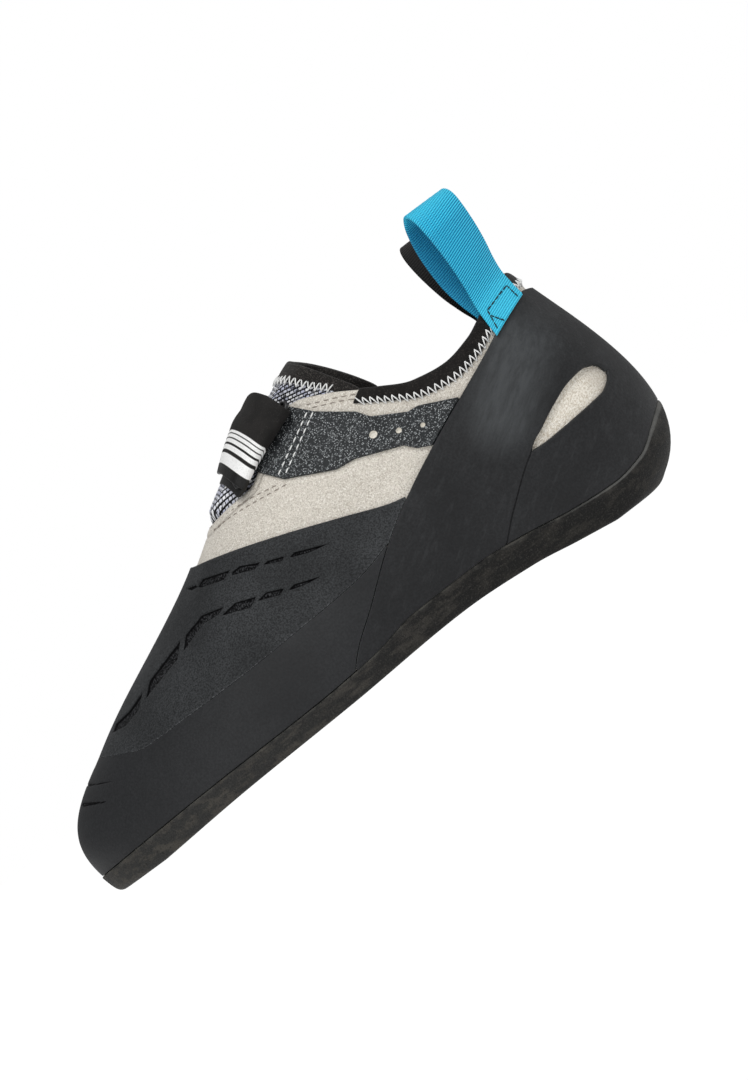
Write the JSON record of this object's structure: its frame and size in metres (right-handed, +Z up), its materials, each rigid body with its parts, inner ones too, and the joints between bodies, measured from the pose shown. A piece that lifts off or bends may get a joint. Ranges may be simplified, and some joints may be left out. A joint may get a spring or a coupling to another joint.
{
  "type": "climbing shoe",
  "caption": "Low climbing shoe for the left foot with rubber toe patch, heel sling, thin full-length sole, fold-back strap and heel pull loops.",
  "frame": {"origin": "centre of the overall box in X and Y, on the floor plane that the toe and heel rest on", "axes": "+X from toe to heel, +Y towards the inner side of the foot, +Z up"},
  "size_m": [0.25, 0.0901, 0.1249],
  "materials": {
    "outsole_rubber": "matte, sanded edge",
    "insole_cloth": "napped",
    "suede": "fine nap",
    "knit": "open knit",
    "rand_rubber": "matte",
    "patch_rubber": "matte, fine grain",
    "panel_cloth": "coarse, speckled",
    "binding": "soft, matte",
    "strap_webbing": "soft, matte, pale stripes",
    "ring": "satin",
    "blue_webbing": "ribbed",
    "black_webbing": "ribbed"
  },
  "bodies": {
    "root": {"outsole": "outsole_rubber", "insole": "insole_cloth", "upper": "suede", "tongue": "knit", "toe_rand": "rand_rubber", "toe_patch": "patch_rubber", "heel_sling": "rand_rubber", "heel_cup": "rand_rubber", "side_panel": "panel_cloth", "collar_binding": "binding", "strap": "strap_webbing", "strap_ring": "ring", "pull_loop_lateral": "blue_webbing", "pull_loop_medial": "black_webbing"}
  },
  "joints": []
}
